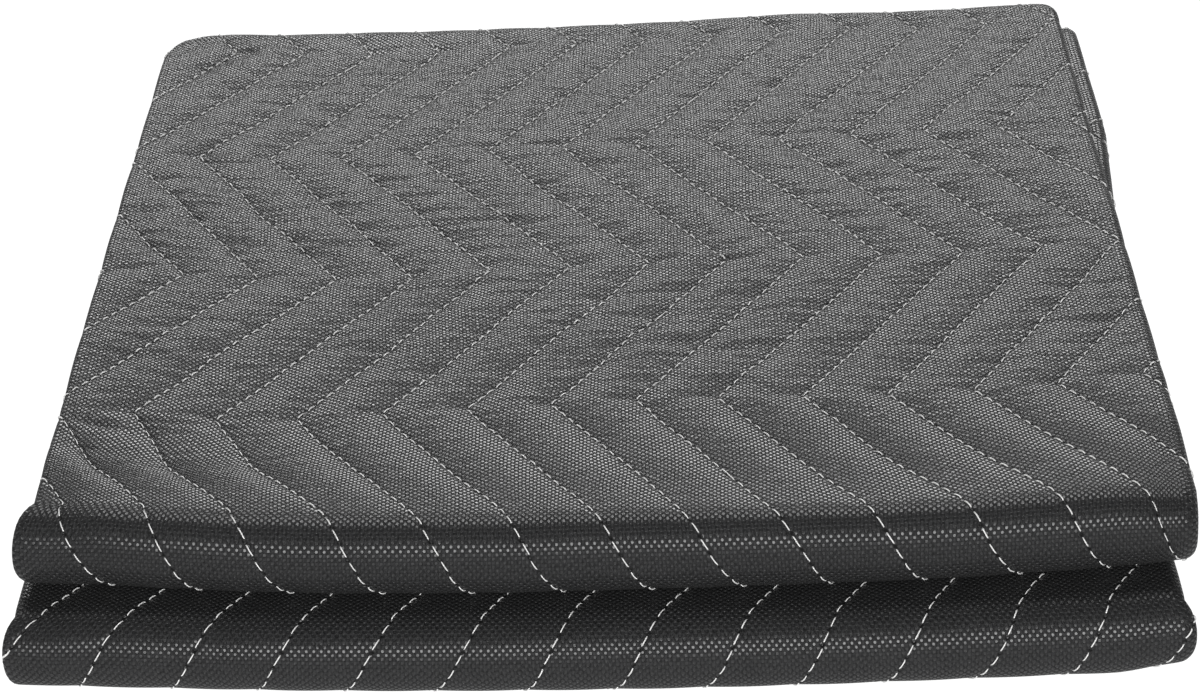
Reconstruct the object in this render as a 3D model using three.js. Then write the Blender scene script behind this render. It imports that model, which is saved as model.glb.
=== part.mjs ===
// Stack of two folded moving blankets, in millimetres, +Z up, front noses towards -Y.
// Each blanket is one quilted sheet, folded into quarters across its width and then
// into thirds along its length, so that twelve plies lie on each other.
import * as THREE from 'three';

// The sheet
const SHEET_THICKNESS = 2.75;
const PLY_PITCH = 3.125;
const HALF_SHEET = SHEET_THICKNESS / 2;

// Chevron quilting: stitch lines that zigzag along the sheet's length
const LINE_SPACING = 38.1;
const CHEVRON_RUN = 151.4;
const CHEVRON_SWING = 83.1;
const STITCH_DEPTH = 1.6;

// Quarter fold: distance between the two side folds, and how short the hidden hems end
const FOLD_SPAN = 493;
const HEM_SETBACK = 3;

// Thirds fold, counted in plies from the fold's centre to the strip's inner ply
const BACK_TURN_PLIES = 0.5;
const NOSE_PLIES = 2.5;
const DROOP_PLIES = 4.5;
const OUTER_PLY = 3;
const FACE_OFFSET = OUTER_PLY * PLY_PITCH;
const BACK_CENTRE_PLIES = 3.5;
const NOSE_CENTRE_PLIES = 5.5;
const PACKET_HEIGHT = SHEET_THICKNESS + 11 * PLY_PITCH;

// Steps of the round folds and columns across a hidden ply
const NOSE_STEPS = 8;
const BACK_STEPS = 5;
const DROOP_STEPS = 2;
const WIDE_FOLD_STEPS = 6;
const TIGHT_FOLD_STEPS = 4;
const HIDDEN_COLUMNS = 5;
const CLOSEST_ROWS = 8;
const CLOSEST_COLUMNS = 4;
const ROUNDING = 1e-6;

// Unevenness: how far behind the nose the drawn-back edge fades out, how far below its middle
// and over which length the nose's ends puff, where the inner plies start to stand out, and
// rows beside the nose
const BOW_FADE = 300;
const PUFF_DROP = 5;
const PUFF_REACH = 27;
const BACKWARD_START = 280;
const BACKWARD_REACH = 150;
const ROWS_BESIDE_NOSE = [9, 36];

// Gap between the two blankets, and the shift that centres the stack on its origin
const BLANKET_GAP = 0.3;
const CENTRE_SHIFT = { x: -0.3, y: -172.83 };

// One row for each blanket. Depths run along Y from the first chevron row of the top.
// middleX: where the packet's middle lies. Widths and lineX are counted from there.
// lineX: where one stitch line runs at its left vertices.
// bow: how the front edge draws back, from bowLeft to the left and bowRight to the right.
const BLANKETS = [
  {
    name: 'blanket_bottom', layer: 0, middleX: -8.5, noseY: -124, innerRun: 560, bottomRun: 590,
    topRun: 566, droop: 0, lineX: -112.2, chevronY: -98, chevronSide: 1,
    bow: 0.00019, bowLeft: 128, bowRight: 198, noseLeft: 5.5, noseRight: 2.5, backLeft: 3, backRight: 5,
  },
  {
    name: 'blanket_top', layer: 1, middleX: 0, noseY: -103, innerRun: 566, bottomRun: 571,
    topRun: 577, droop: 35, lineX: -215.3, chevronY: 0, chevronSide: 0,
    bow: 0.00036, bowLeft: 40, bowRight: 120, noseLeft: 9, noseRight: -2.7, backLeft: 3.5, backRight: 10,
  },
];

const degrees = (angle) => THREE.MathUtils.degToRad(angle);

// A path of straight runs and clockwise round turns. Each station gives the point on the
// inner ply, the direction away from the fold's centre, and the length along the outer ply.
function foldedStrip(blanket) {
  const backRadius = BACK_TURN_PLIES * PLY_PITCH;
  const noseRadius = NOSE_PLIES * PLY_PITCH;
  const droopRadius = DROOP_PLIES * PLY_PITCH;
  const backY = blanket.noseY + blanket.bottomRun;
  const backZ = HALF_SHEET + BACK_CENTRE_PLIES * PLY_PITCH;
  const noseZ = HALF_SHEET + NOSE_CENTRE_PLIES * PLY_PITCH;
  const topEndY = blanket.noseY + blanket.topRun;
  return [
    { kind: 'run', part: 'inner', y: backY - blanket.innerRun, z: backZ + backRadius, toY: backY },
    { kind: 'turn', part: 'back', y: backY, z: backZ, radius: backRadius, from: 90, to: -90,
      steps: BACK_STEPS },
    { kind: 'run', part: 'bottom', y: backY, z: backZ - backRadius, toY: blanket.noseY },
    { kind: 'turn', part: 'nose', y: blanket.noseY, z: noseZ, radius: noseRadius, from: 270, to: 90,
      steps: NOSE_STEPS },
    { kind: 'run', part: 'top', y: blanket.noseY, z: noseZ + noseRadius, toY: topEndY },
    { kind: 'turn', part: 'droop', y: topEndY, z: noseZ + noseRadius - droopRadius, radius: droopRadius,
      from: 90, to: 90 - blanket.droop, steps: DROOP_STEPS },
  ];
}

function sectionLength(section) {
  if (section.kind === 'run') return Math.abs(section.toY - section.y);
  return degrees(Math.abs(section.to - section.from)) * (section.radius + FACE_OFFSET);
}

// Point and outward direction at a share of one section's length
function sectionAt(section, share) {
  if (section.kind === 'run') {
    const outward = section.part === 'bottom' ? -1 : 1;
    return { y: THREE.MathUtils.lerp(section.y, section.toY, share), z: section.z, outY: 0, outZ: outward };
  }
  const angle = degrees(THREE.MathUtils.lerp(section.from, section.to, share));
  const outY = Math.cos(angle);
  const outZ = Math.sin(angle);
  return { y: section.y + section.radius * outY, z: section.z + section.radius * outZ, outY, outZ };
}

// Zigzag of the stitch lines: 0 at a left vertex, 1 at a right vertex
function zigzag(length, vertexLength, vertexSide) {
  const runs = Math.abs((length - vertexLength) / CHEVRON_RUN);
  const share = runs % 2;
  const swing = share < 1 ? share : 2 - share;
  return vertexSide === 1 ? 1 - swing : swing;
}

// Rows across the strip: at each end of a section, at each step of a turn, beside the nose
// and at the chevron vertices, where they don't crowd the others
function stripRows(blanket) {
  const sections = foldedStrip(blanket);
  const rows = [];
  let start = 0;
  let noseStart = 0;
  let noseEnd = 0;
  for (const section of sections) {
    const length = sectionLength(section);
    if (length === 0) continue;
    const steps = section.kind === 'turn' ? section.steps : 1;
    for (let step = 0; step < steps; step += 1) rows.push(start + (length * step) / steps);
    if (section.part === 'nose') {
      noseStart = start;
      noseEnd = start + length;
    }
    start += length;
  }
  rows.push(start);
  const vertexLength = noseEnd + blanket.chevronY - blanket.noseY;
  const wanted = ROWS_BESIDE_NOSE.flatMap((reach) => [noseStart - reach, noseEnd + reach]);
  const first = vertexLength % CHEVRON_RUN;
  for (let vertex = first; vertex < start; vertex += CHEVRON_RUN) wanted.push(vertex);
  for (const length of wanted) {
    const crowded = rows.some((row) => Math.abs(row - length) < CLOSEST_ROWS);
    if (!crowded) rows.push(length);
  }
  rows.sort((a, b) => a - b);
  return { sections, rows, vertexLength, noseMiddle: (noseStart + noseEnd) / 2 };
}

function stripAt(sections, length) {
  let rest = length;
  for (const section of sections) {
    const own = sectionLength(section);
    if (own > 0 && rest <= own + ROUNDING) {
      return { part: section.part, ...sectionAt(section, Math.min(rest / own, 1)) };
    }
    rest -= own;
  }
  const last = sections[sections.length - 1];
  return { part: last.part, ...sectionAt(last, 1) };
}

// Quarter fold, seen along the strip: a point across the sheet becomes a place x across
// the packet and a height n above the inner ply, with the direction of the sheet's face.
const FOLD_LEFT = -FOLD_SPAN / 2;
const FOLD_RIGHT = FOLD_SPAN / 2;
const QUARTERS = [
  { name: 'inner hem ply', kind: 'run', x: FOLD_LEFT + HEM_SETBACK, toX: FOLD_RIGHT, n: 0, face: -1 },
  { name: 'wide fold', kind: 'turn', x: FOLD_RIGHT, n: 1.5 * PLY_PITCH, radius: 1.5 * PLY_PITCH,
    from: -90, to: 90, face: 1, steps: WIDE_FOLD_STEPS },
  { name: 'outer ply', kind: 'run', x: FOLD_RIGHT, toX: FOLD_LEFT, n: 3 * PLY_PITCH, face: 1 },
  { name: 'left fold', kind: 'turn', x: FOLD_LEFT, n: 2.5 * PLY_PITCH, radius: 0.5 * PLY_PITCH,
    from: 90, to: 270, face: 1, steps: TIGHT_FOLD_STEPS },
  { name: 'second ply', kind: 'run', x: FOLD_LEFT, toX: FOLD_RIGHT, n: 2 * PLY_PITCH, face: -1 },
  { name: 'right fold', kind: 'turn', x: FOLD_RIGHT, n: 1.5 * PLY_PITCH, radius: 0.5 * PLY_PITCH,
    from: 90, to: -90, face: -1, steps: TIGHT_FOLD_STEPS },
  { name: 'third ply', kind: 'run', x: FOLD_RIGHT, toX: FOLD_LEFT + HEM_SETBACK, n: PLY_PITCH, face: 1 },
];

function quarterAt(quarter, share) {
  if (quarter.kind === 'run') {
    const x = THREE.MathUtils.lerp(quarter.x, quarter.toX, share);
    return { x, n: quarter.n, faceX: 0, faceN: quarter.face };
  }
  const angle = degrees(THREE.MathUtils.lerp(quarter.from, quarter.to, share));
  const outX = Math.cos(angle);
  const outN = Math.sin(angle);
  return {
    x: quarter.x + quarter.radius * outX,
    n: quarter.n + quarter.radius * outN,
    faceX: outX * quarter.face,
    faceN: outN * quarter.face,
  };
}

// Columns across the sheet for one row. The outer ply's face has one column on each stitch
// line and one on each ridge between, which swing with the zigzag and stop at the folds.
function rowColumns(side, swing, lineX) {
  const columns = [];
  QUARTERS.forEach((quarter, index) => {
    if (quarter.name === 'outer ply' && side === 'face') {
      const half = LINE_SPACING / 2;
      const anchor = lineX + swing * CHEVRON_SWING;
      const lowest = Math.floor((FOLD_LEFT - lineX - CHEVRON_SWING) / half);
      const highest = Math.ceil((FOLD_RIGHT - lineX) / half);
      columns.push({ quarter, share: 0 });
      for (let step = highest; step >= lowest; step -= 1) {
        let x = anchor + step * half;
        if (x > FOLD_RIGHT - CLOSEST_COLUMNS) x = FOLD_RIGHT;
        if (x < FOLD_LEFT + CLOSEST_COLUMNS) x = FOLD_LEFT;
        columns.push({ quarter, share: (FOLD_RIGHT - x) / FOLD_SPAN });
      }
    } else {
      const steps = quarter.kind === 'turn' ? quarter.steps : HIDDEN_COLUMNS - 1;
      for (let step = 0; step < steps; step += 1) columns.push({ quarter, share: step / steps });
    }
    if (index === QUARTERS.length - 1) columns.push({ quarter, share: 1 });
  });
  return columns;
}

// How deep the face is drawn in: deepest on a stitch line, nothing on the ridge between
function quiltDepth(x, anchor) {
  const across = THREE.MathUtils.euclideanModulo(x - anchor, LINE_SPACING);
  const toLine = Math.min(across, LINE_SPACING - across);
  const share = 1 - toLine / (LINE_SPACING / 2);
  return STITCH_DEPTH * share;
}

const QUILTED_QUARTERS = ['wide fold', 'outer ply', 'left fold'];

// The packet's own unevenness: the front edge draws back towards its ends, the ends of the
// nose puff out, and the inner plies stand out a little at the back.
function unevenPoint(blanket, strip, length, place, x, y) {
  const drawnBack = Math.max(0, blanket.bowLeft - x) ** 2 + Math.max(0, x - blanket.bowRight) ** 2;
  const forward = THREE.MathUtils.clamp(1 - (y - blanket.noseY) / BOW_FADE, 0, 1);
  const fromNose = Math.abs(length - strip.noseMiddle + PUFF_DROP) / PUFF_REACH;
  const puff = Math.max(0, 1 - fromNose ** 2);
  const inside = place.part === 'top' || place.part === 'droop' ? 0 : 1;
  const behind = y - blanket.noseY - BACKWARD_START;
  const backward = inside * THREE.MathUtils.clamp(behind / BACKWARD_REACH, 0, 1);
  const across = x / FOLD_RIGHT;
  const sideways = x < 0
    ? across * (blanket.noseLeft * puff + blanket.backLeft * backward)
    : across * (blanket.noseRight * puff + blanket.backRight * backward);
  return { x: x + sideways, y: y + blanket.bow * drawnBack * forward };
}

// One side of the sheet as rows of points
function sheetSide(blanket, strip, side) {
  const sign = side === 'face' ? 1 : -1;
  const baseZ = blanket.layer * (PACKET_HEIGHT + BLANKET_GAP);
  return strip.rows.map((length) => {
    const place = stripAt(strip.sections, length);
    const swing = zigzag(length, strip.vertexLength, blanket.chevronSide);
    const anchor = blanket.lineX + swing * CHEVRON_SWING;
    const underneath = place.part === 'bottom' || place.outZ === -1;
    return rowColumns(side, swing, blanket.lineX).map(({ quarter, share }) => {
      const fold = quarterAt(quarter, share);
      const quilted = side === 'face' && !underneath && QUILTED_QUARTERS.includes(quarter.name);
      const drawnIn = quilted ? quiltDepth(fold.x, anchor) : 0;
      const offset = sign * HALF_SHEET - drawnIn;
      const across = fold.x + fold.faceX * offset;
      const above = fold.n + fold.faceN * offset;
      const flatY = place.y + place.outY * above;
      const uneven = unevenPoint(blanket, strip, length, place, across, flatY);
      const z = baseZ + place.z + place.outZ * above;
      return new THREE.Vector3(blanket.middleX + uneven.x, uneven.y, z);
    });
  });
}

// Collects triangles on shared points, and leaves out those that have closed up
function meshBuilder() {
  const places = new Map();
  const positions = [];
  const triangles = [];
  const pointIndex = (point) => {
    const key = [point.x, point.y, point.z].map((value) => Math.round(value * 1000)).join(' ');
    if (!places.has(key)) {
      places.set(key, positions.length / 3);
      positions.push(point.x, point.y, point.z);
    }
    return places.get(key);
  };
  const triangle = (a, b, c) => {
    const [i, j, k] = [pointIndex(a), pointIndex(b), pointIndex(c)];
    if (i !== j && j !== k && k !== i) triangles.push(i, j, k);
  };
  const geometry = () => {
    const result = new THREE.BufferGeometry();
    result.setAttribute('position', new THREE.Float32BufferAttribute(positions, 3));
    result.setIndex(triangles);
    result.computeVertexNormals();
    return result;
  };
  return { triangle, geometry };
}

function addGrid(builder, grid, flipped) {
  for (let row = 0; row + 1 < grid.length; row += 1) {
    for (let column = 0; column + 1 < grid[row].length; column += 1) {
      const [a, b] = [grid[row][column], grid[row][column + 1]];
      const [c, d] = [grid[row + 1][column + 1], grid[row + 1][column]];
      if (flipped) {
        builder.triangle(a, d, c);
        builder.triangle(a, c, b);
      } else {
        builder.triangle(a, b, c);
        builder.triangle(a, c, d);
      }
    }
  }
}

// Closes the hem between two lines of points that start and end together,
// stepping along whichever line lags behind
function addHem(builder, upper, lower, flipped) {
  let i = 0;
  let j = 0;
  const lag = (line, index) => (index + 1) / (line.length - 1);
  while (i + 1 < upper.length || j + 1 < lower.length) {
    const stepUpper = j + 1 >= lower.length || (i + 1 < upper.length && lag(upper, i) <= lag(lower, j));
    const corner = stepUpper ? upper[i + 1] : lower[j + 1];
    if (flipped) builder.triangle(upper[i], corner, lower[j]);
    else builder.triangle(upper[i], lower[j], corner);
    if (stepUpper) i += 1;
    else j += 1;
  }
}

function splitByQuarter(row, columns) {
  const parts = QUARTERS.map(() => []);
  columns.forEach(({ quarter }, index) => parts[QUARTERS.indexOf(quarter)].push(row[index]));
  parts.forEach((part, index) => {
    if (index + 1 < parts.length) part.push(parts[index + 1][0]);
  });
  return parts;
}

function foldedBlanket(blanket) {
  const strip = stripRows(blanket);
  const face = sheetSide(blanket, strip, 'face');
  const back = sheetSide(blanket, strip, 'back');
  const builder = meshBuilder();
  addGrid(builder, face, true);
  addGrid(builder, back, false);
  const lastColumn = (grid) => grid.map((row) => row[row.length - 1]);
  const firstColumn = (grid) => grid.map((row) => row[0]);
  addHem(builder, firstColumn(face), firstColumn(back), false);
  addHem(builder, lastColumn(face), lastColumn(back), true);
  for (const end of [0, strip.rows.length - 1]) {
    const swing = zigzag(strip.rows[end], strip.vertexLength, blanket.chevronSide);
    const faceParts = splitByQuarter(face[end], rowColumns('face', swing, blanket.lineX));
    const backParts = splitByQuarter(back[end], rowColumns('back', swing, blanket.lineX));
    faceParts.forEach((part, index) => addHem(builder, part, backParts[index], end === 0));
  }
  return builder.geometry();
}

const cloth = () => new THREE.MeshStandardMaterial({ color: 0x4a4c4f, roughness: 0.95, metalness: 0 });

const stack = new THREE.Group();
stack.position.set(CENTRE_SHIFT.x, CENTRE_SHIFT.y, 0);
for (const blanket of BLANKETS) {
  const mesh = new THREE.Mesh(foldedBlanket(blanket), cloth());
  mesh.name = blanket.name;
  stack.add(mesh);
}

export default stack;
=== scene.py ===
# %% [markdown]
# # A stack of two quilted moving blankets
#
# A moving blanket is a thin quilted sheet: two non-woven covers with loose fibre between them,
# sewn through in zigzag lines. Each one here is folded into quarters across its width and then
# into thirds along its length, so that a packet has twelve plies and a full-height round nose.
# This lesson makes the sheet the way that the workshop does. It is cut flat, its pattern is
# worked out on the flat cloth, and the finished sheet is folded by moving its points.

# %% Load the measured frame
import math

import bmesh
import bpy
import numpy as np
from mathutils import Matrix, Vector


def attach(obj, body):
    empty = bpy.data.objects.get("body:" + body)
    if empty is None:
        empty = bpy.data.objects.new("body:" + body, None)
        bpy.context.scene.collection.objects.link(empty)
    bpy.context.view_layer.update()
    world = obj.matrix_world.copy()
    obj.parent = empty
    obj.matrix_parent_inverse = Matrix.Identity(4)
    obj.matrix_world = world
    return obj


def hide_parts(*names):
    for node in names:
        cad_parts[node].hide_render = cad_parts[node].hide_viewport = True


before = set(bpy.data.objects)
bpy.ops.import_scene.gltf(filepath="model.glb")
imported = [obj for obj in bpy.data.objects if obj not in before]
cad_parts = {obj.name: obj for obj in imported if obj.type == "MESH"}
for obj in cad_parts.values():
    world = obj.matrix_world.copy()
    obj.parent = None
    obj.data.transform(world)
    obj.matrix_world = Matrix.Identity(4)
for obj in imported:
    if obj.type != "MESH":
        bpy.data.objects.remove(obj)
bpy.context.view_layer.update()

# %% [markdown]
# ## The camera
#
# The camera is made first, because each later choice is judged through it. Its place comes from
# fitting the rows of chevron points in the photograph: it stands about 1.9 m away, looks down at
# 25.6 degrees, and is held 3 degrees off level. A rotation matrix built from its three directions
# says this more plainly than three turning angles would. The lens is stopped right down, because
# the photograph is sharp from the noses to the back edge.

# %% Camera at the photograph's viewing angle
PHOTO_WIDTH = 1200
FOCAL_PIXELS = 3776
SENSOR_WIDTH = 36.0
CAMERA_PLACE = Vector((0.0412, -1.6966, 0.8329))
CAMERA_YAW = math.radians(-1.61)
CAMERA_PITCH = math.radians(25.6)
CAMERA_ROLL = math.radians(3.09)
NEAR_CLIP = 0.05
FOCUS_DISTANCE = 1.66
F_STOP = 56


def add_object(name, data):
    item = bpy.data.objects.new(name, data)
    bpy.context.scene.collection.objects.link(item)
    return item


def make_camera():
    level = Vector((math.sin(CAMERA_YAW), math.cos(CAMERA_YAW), 0))
    forward = level * math.cos(CAMERA_PITCH) - Vector((0, 0, math.sin(CAMERA_PITCH)))
    right = forward.cross(Vector((0, 0, 1))).normalized()
    upward = right.cross(forward)
    turn = Matrix.Rotation(CAMERA_ROLL, 3, forward)
    axes = Matrix((turn @ right, turn @ upward, -forward)).transposed()
    camera = add_object("photo_camera", bpy.data.cameras.new("photo_camera"))
    camera.data.sensor_width = SENSOR_WIDTH
    camera.data.lens = FOCAL_PIXELS * SENSOR_WIDTH / PHOTO_WIDTH
    camera.data.clip_start = NEAR_CLIP
    camera.data.dof.use_dof = True
    camera.data.dof.focus_distance = FOCUS_DISTANCE
    camera.data.dof.aperture_fstop = F_STOP
    camera.matrix_world = Matrix.Translation(CAMERA_PLACE) @ axes.to_4x4()
    bpy.context.scene.camera = camera
    return camera


camera = make_camera()
print("camera lens", round(camera.data.lens, 1), "mm")

# %% [markdown]
# ## Sizes of the cloth
#
# The cloth is worked out in millimetres, which suits its 3 mm plies, and turned into Blender's
# metres at the very end. The driving sizes are the sheet's thickness, the pitch of its plies, the
# spacing of the stitch lines and the run of a chevron leg. The rest follows from the folds.
#
# A row for each blanket holds what differs between the two: where it lies and how long its plies
# run, where its stitch lines stand, how its front edge bows, how far the ends of its nose and its
# inner plies stand out, how square its nose is, and how round its back corners are.

# %% Driving sizes in millimetres
MM = 0.001
SHEET_THICKNESS = 2.75
HALF_SHEET = SHEET_THICKNESS / 2
PLIES = 12
PLY_PITCH = 3.125
LINE_SPACING = 38.1
CHEVRON_RUN = 151.4
CHEVRON_SWING = 83.1
LEG_COSINE = CHEVRON_RUN / math.hypot(CHEVRON_RUN, CHEVRON_SWING)
FOLD_SPAN = 493
FOLD_LEFT = -FOLD_SPAN / 2
FOLD_RIGHT = FOLD_SPAN / 2
HEM_SETBACK = 3
FACE_OFFSET = 3 * PLY_PITCH
PACKET_HEIGHT = SHEET_THICKNESS + (PLIES - 1) * PLY_PITCH
BLANKET_GAP = 0.3
CENTRE_SHIFT = (-0.3, -172.83)

BLANKETS = {
    "bottom": dict(layer=0, middle_x=-8.5, nose_y=-124, inner_run=560, bottom_run=590, top_run=566,
                   droop=0, line_x=-112.2, chevron_y=-98, right_vertex=1,
                   bow=0.00019, bow_left=128, bow_right=198,
                   nose_left=5.5, nose_right=4, back_left=3, back_right=5,
                   puff_drop=0, puff_above=20, puff_below=27, square_above=2.0, square_below=2.1,
                   corner_left=14, corner_right=12),
    "top": dict(layer=1, middle_x=0, nose_y=-103, inner_run=566, bottom_run=571, top_run=577,
                droop=35, line_x=-215.3, chevron_y=0, right_vertex=0,
                bow=0.00036, bow_left=40, bow_right=120,
                nose_left=9, nose_right=-0.9, back_left=3.5, back_right=10,
                puff_drop=3.5, puff_above=30, puff_below=27, square_above=2.6, square_below=2.0,
                corner_left=36, corner_right=16),
}

# %% [markdown]
# ## Folding into thirds
#
# Seen from the side, the strip is a path: a run inside, a small round turn at the back, a run
# along the bottom, the big round nose at the front and a run over the top. A table with one row
# for each stretch keeps the path readable, and one function then places any number of points on
# it at once. Numpy arrays make that quick enough for a hundred thousand points.

# %% The strip as a path of runs and turns
BACK_RADIUS = 0.5 * PLY_PITCH
NOSE_RADIUS = 2.5 * PLY_PITCH
DROOP_RADIUS = 4.5 * PLY_PITCH


def thirds_fold(blanket):
    back_y = blanket["nose_y"] + blanket["bottom_run"]
    back_z = HALF_SHEET + 3.5 * PLY_PITCH
    nose_z = HALF_SHEET + 5.5 * PLY_PITCH
    end_y = blanket["nose_y"] + blanket["top_run"]
    top_z = nose_z + NOSE_RADIUS
    stretches = [
        dict(name="inner", y=back_y - blanket["inner_run"], to_y=back_y, z=back_z + BACK_RADIUS, out=1),
        dict(name="back", y=back_y, z=back_z, radius=BACK_RADIUS, start=90, end=-90),
        dict(name="bottom", y=back_y, to_y=blanket["nose_y"], z=back_z - BACK_RADIUS, out=-1),
        dict(name="nose", y=blanket["nose_y"], z=nose_z, radius=NOSE_RADIUS, start=270, end=90),
        dict(name="top", y=blanket["nose_y"], to_y=end_y, z=top_z, out=1),
    ]
    if blanket["droop"]:
        stretches.append(dict(name="droop", y=end_y, z=top_z - DROOP_RADIUS, radius=DROOP_RADIUS,
                              start=90, end=90 - blanket["droop"]))
    reached = 0
    for stretch in stretches:
        if "radius" in stretch:
            turn = math.radians(abs(stretch["end"] - stretch["start"]))
            stretch["length"] = turn * (stretch["radius"] + FACE_OFFSET)
        else:
            stretch["length"] = abs(stretch["to_y"] - stretch["y"])
        stretch["first"] = reached
        reached += stretch["length"]
    return stretches


for blanket in BLANKETS.values():
    blanket["strip"] = {stretch["name"]: stretch for stretch in thirds_fold(blanket)}
    nose = blanket["strip"]["nose"]
    blanket["nose_middle"] = nose["first"] + nose["length"] / 2
    blanket["vertex_row"] = nose["first"] + nose["length"] + blanket["chevron_y"] - blanket["nose_y"]
    blanket["length"] = sum(stretch["length"] for stretch in blanket["strip"].values())
print("sheet length", [round(blanket["length"]) for blanket in BLANKETS.values()], "mm")


# %% Place lengths along the strip
def along_strip(blanket, length):
    """Side view of the inner ply: y and z, and the direction away from the fold's centre."""
    length = np.clip(length, 0, blanket["length"])
    y, z, out_y, out_z = (np.zeros_like(length) for _ in range(4))
    for stretch in blanket["strip"].values():
        here = length >= stretch["first"]
        share = np.clip((length[here] - stretch["first"]) / stretch["length"], 0, 1)
        if "radius" in stretch:
            angle = np.radians(stretch["start"] + share * (stretch["end"] - stretch["start"]))
            out_y[here] = np.cos(angle)
            out_z[here] = np.sin(angle)
            y[here] = stretch["y"] + stretch["radius"] * out_y[here]
            z[here] = stretch["z"] + stretch["radius"] * out_z[here]
        else:
            out_y[here] = 0
            out_z[here] = stretch["out"]
            y[here] = stretch["y"] + share * (stretch["to_y"] - stretch["y"])
            z[here] = stretch["z"]
    return y, z, out_y, out_z


# %% [markdown]
# ## Folding into quarters
#
# Seen along the strip, the sheet starts at a hem inside, turns up round the right side, runs
# over the outside, turns in at the left and zigzags back to its other hem. The outer ply is
# where the pattern shows, so places across the sheet are counted from its middle: the letter t
# below is that distance, and it simply runs on round the folds on either side.

# %% The quarter folds across the sheet
WIDE_RADIUS = 1.5 * PLY_PITCH
TIGHT_RADIUS = 0.5 * PLY_PITCH
HEM_PLY = FOLD_SPAN - HEM_SETBACK
QUARTERS = [
    dict(name="inner hem ply", x=FOLD_LEFT + HEM_SETBACK, to_x=FOLD_RIGHT, n=0, face=-1),
    dict(name="wide fold", x=FOLD_RIGHT, n=WIDE_RADIUS, radius=WIDE_RADIUS, start=-90, end=90, face=1),
    dict(name="outer ply", x=FOLD_RIGHT, to_x=FOLD_LEFT, n=3 * PLY_PITCH, face=1),
    dict(name="left fold", x=FOLD_LEFT, n=2.5 * PLY_PITCH, radius=TIGHT_RADIUS, start=90, end=270,
         face=1),
    dict(name="second ply", x=FOLD_LEFT, to_x=FOLD_RIGHT, n=2 * PLY_PITCH, face=-1),
    dict(name="right fold", x=FOLD_RIGHT, n=1.5 * PLY_PITCH, radius=TIGHT_RADIUS, start=90, end=-90,
         face=-1),
    dict(name="third ply", x=FOLD_RIGHT, to_x=FOLD_LEFT + HEM_SETBACK, n=PLY_PITCH, face=1),
]
reached = FOLD_RIGHT + HEM_PLY + math.pi * WIDE_RADIUS
FIRST_HEM = reached
for quarter in QUARTERS:
    quarter["from_t"] = reached
    if "radius" in quarter:
        reached -= math.radians(abs(quarter["end"] - quarter["start"])) * quarter["radius"]
    else:
        reached -= abs(quarter["to_x"] - quarter["x"])
    quarter["to_t"] = reached
LAST_HEM = reached
print("sheet width", round(FIRST_HEM - LAST_HEM), "mm, from", round(FIRST_HEM), "to", round(LAST_HEM))


def across_sheet(t):
    """End view: x across the packet, height n above the inner ply, direction of the face."""
    x, n, face_x, face_n = (np.zeros_like(t) for _ in range(4))
    for quarter in QUARTERS:
        here = t <= quarter["from_t"] + 1e-9
        share = np.clip((quarter["from_t"] - t[here]) / (quarter["from_t"] - quarter["to_t"]), 0, 1)
        if "radius" in quarter:
            angle = np.radians(quarter["start"] + share * (quarter["end"] - quarter["start"]))
            x[here] = quarter["x"] + quarter["radius"] * np.cos(angle)
            n[here] = quarter["n"] + quarter["radius"] * np.sin(angle)
            face_x[here] = np.cos(angle) * quarter["face"]
            face_n[here] = np.sin(angle) * quarter["face"]
        else:
            x[here] = quarter["x"] + share * (quarter["to_x"] - quarter["x"])
            n[here] = quarter["n"]
            face_x[here] = 0
            face_n[here] = quarter["face"]
    return x, n, face_x, face_n


# %% [markdown]
# ## The chevron pattern
#
# All stitch lines are one zigzag, moved sideways by the line spacing. So one function that says
# how far the zigzag has swung at a given length is enough for the relief, for the columns of the
# mesh, for the thread and for the material.

# %% Zigzag and distance to the nearest stitch line
def swing(blanket, length):
    runs = np.abs((length - blanket["vertex_row"]) / CHEVRON_RUN)
    rise = runs % 2
    share = np.where(rise < 1, rise, 2 - rise)
    return 1 - share if blanket["right_vertex"] else share


def line_anchor(blanket, length):
    return blanket["line_x"] + CHEVRON_SWING * swing(blanket, length)


def ridge_share(blanket, t, length):
    """0 on a stitch line, 1 on the ridge half-way to the next."""
    across = (t - line_anchor(blanket, length)) % LINE_SPACING
    return np.minimum(across, LINE_SPACING - across) / (LINE_SPACING / 2)


# %% [markdown]
# ## Soft random values
#
# Real cloth is uneven, but the same script must always give the same cloth. A small table of
# seeded random numbers, blended smoothly between its entries, gives hills and hollows of any
# length that repeat exactly from run to run.

# %% Smooth noise and smooth steps
NOISE_TABLE = 64


def ease(share):
    share = np.clip(share, 0, 1)
    return share * share * (3 - 2 * share)


def soft_noise(across, along, size, seed):
    """Values from -1 to 1, with a hill or hollow to each size, given across and along."""
    a = across / size[0]
    b = along / size[1]
    table = np.random.default_rng(seed).uniform(-1, 1, (NOISE_TABLE, NOISE_TABLE))
    low_a = np.floor(a).astype(int)
    low_b = np.floor(b).astype(int)
    mix_a = ease(a - low_a)
    mix_b = ease(b - low_b)

    def corner(step_a, step_b):
        return table[(low_a + step_a) % NOISE_TABLE, (low_b + step_b) % NOISE_TABLE]

    near = corner(0, 0) * (1 - mix_b) + corner(0, 1) * mix_b
    far = corner(1, 0) * (1 - mix_b) + corner(1, 1) * mix_b
    return near * (1 - mix_a) + far * mix_a


# %% [markdown]
# ## Relief of the quilting
#
# The thread pulls the cover down along each line and the filling lifts it between them. On top
# of that the non-woven cover has shrunk a little along the sheet, which gives rows of short
# wrinkles across each channel, and it puckers at the chevron points where the line turns. Relief
# is a depth into the face, in millimetres, so that it can be taken from the sheet's thickness.

# %% Creases and puckers
PUCKER_REACH = 12
PUCKER_WIDTH = 3.2
PUCKER_DEPTH = 0.75
PUCKER_RISE = 0.12
PUCKER_START = 2
CREASE_BEND = 0.004

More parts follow.
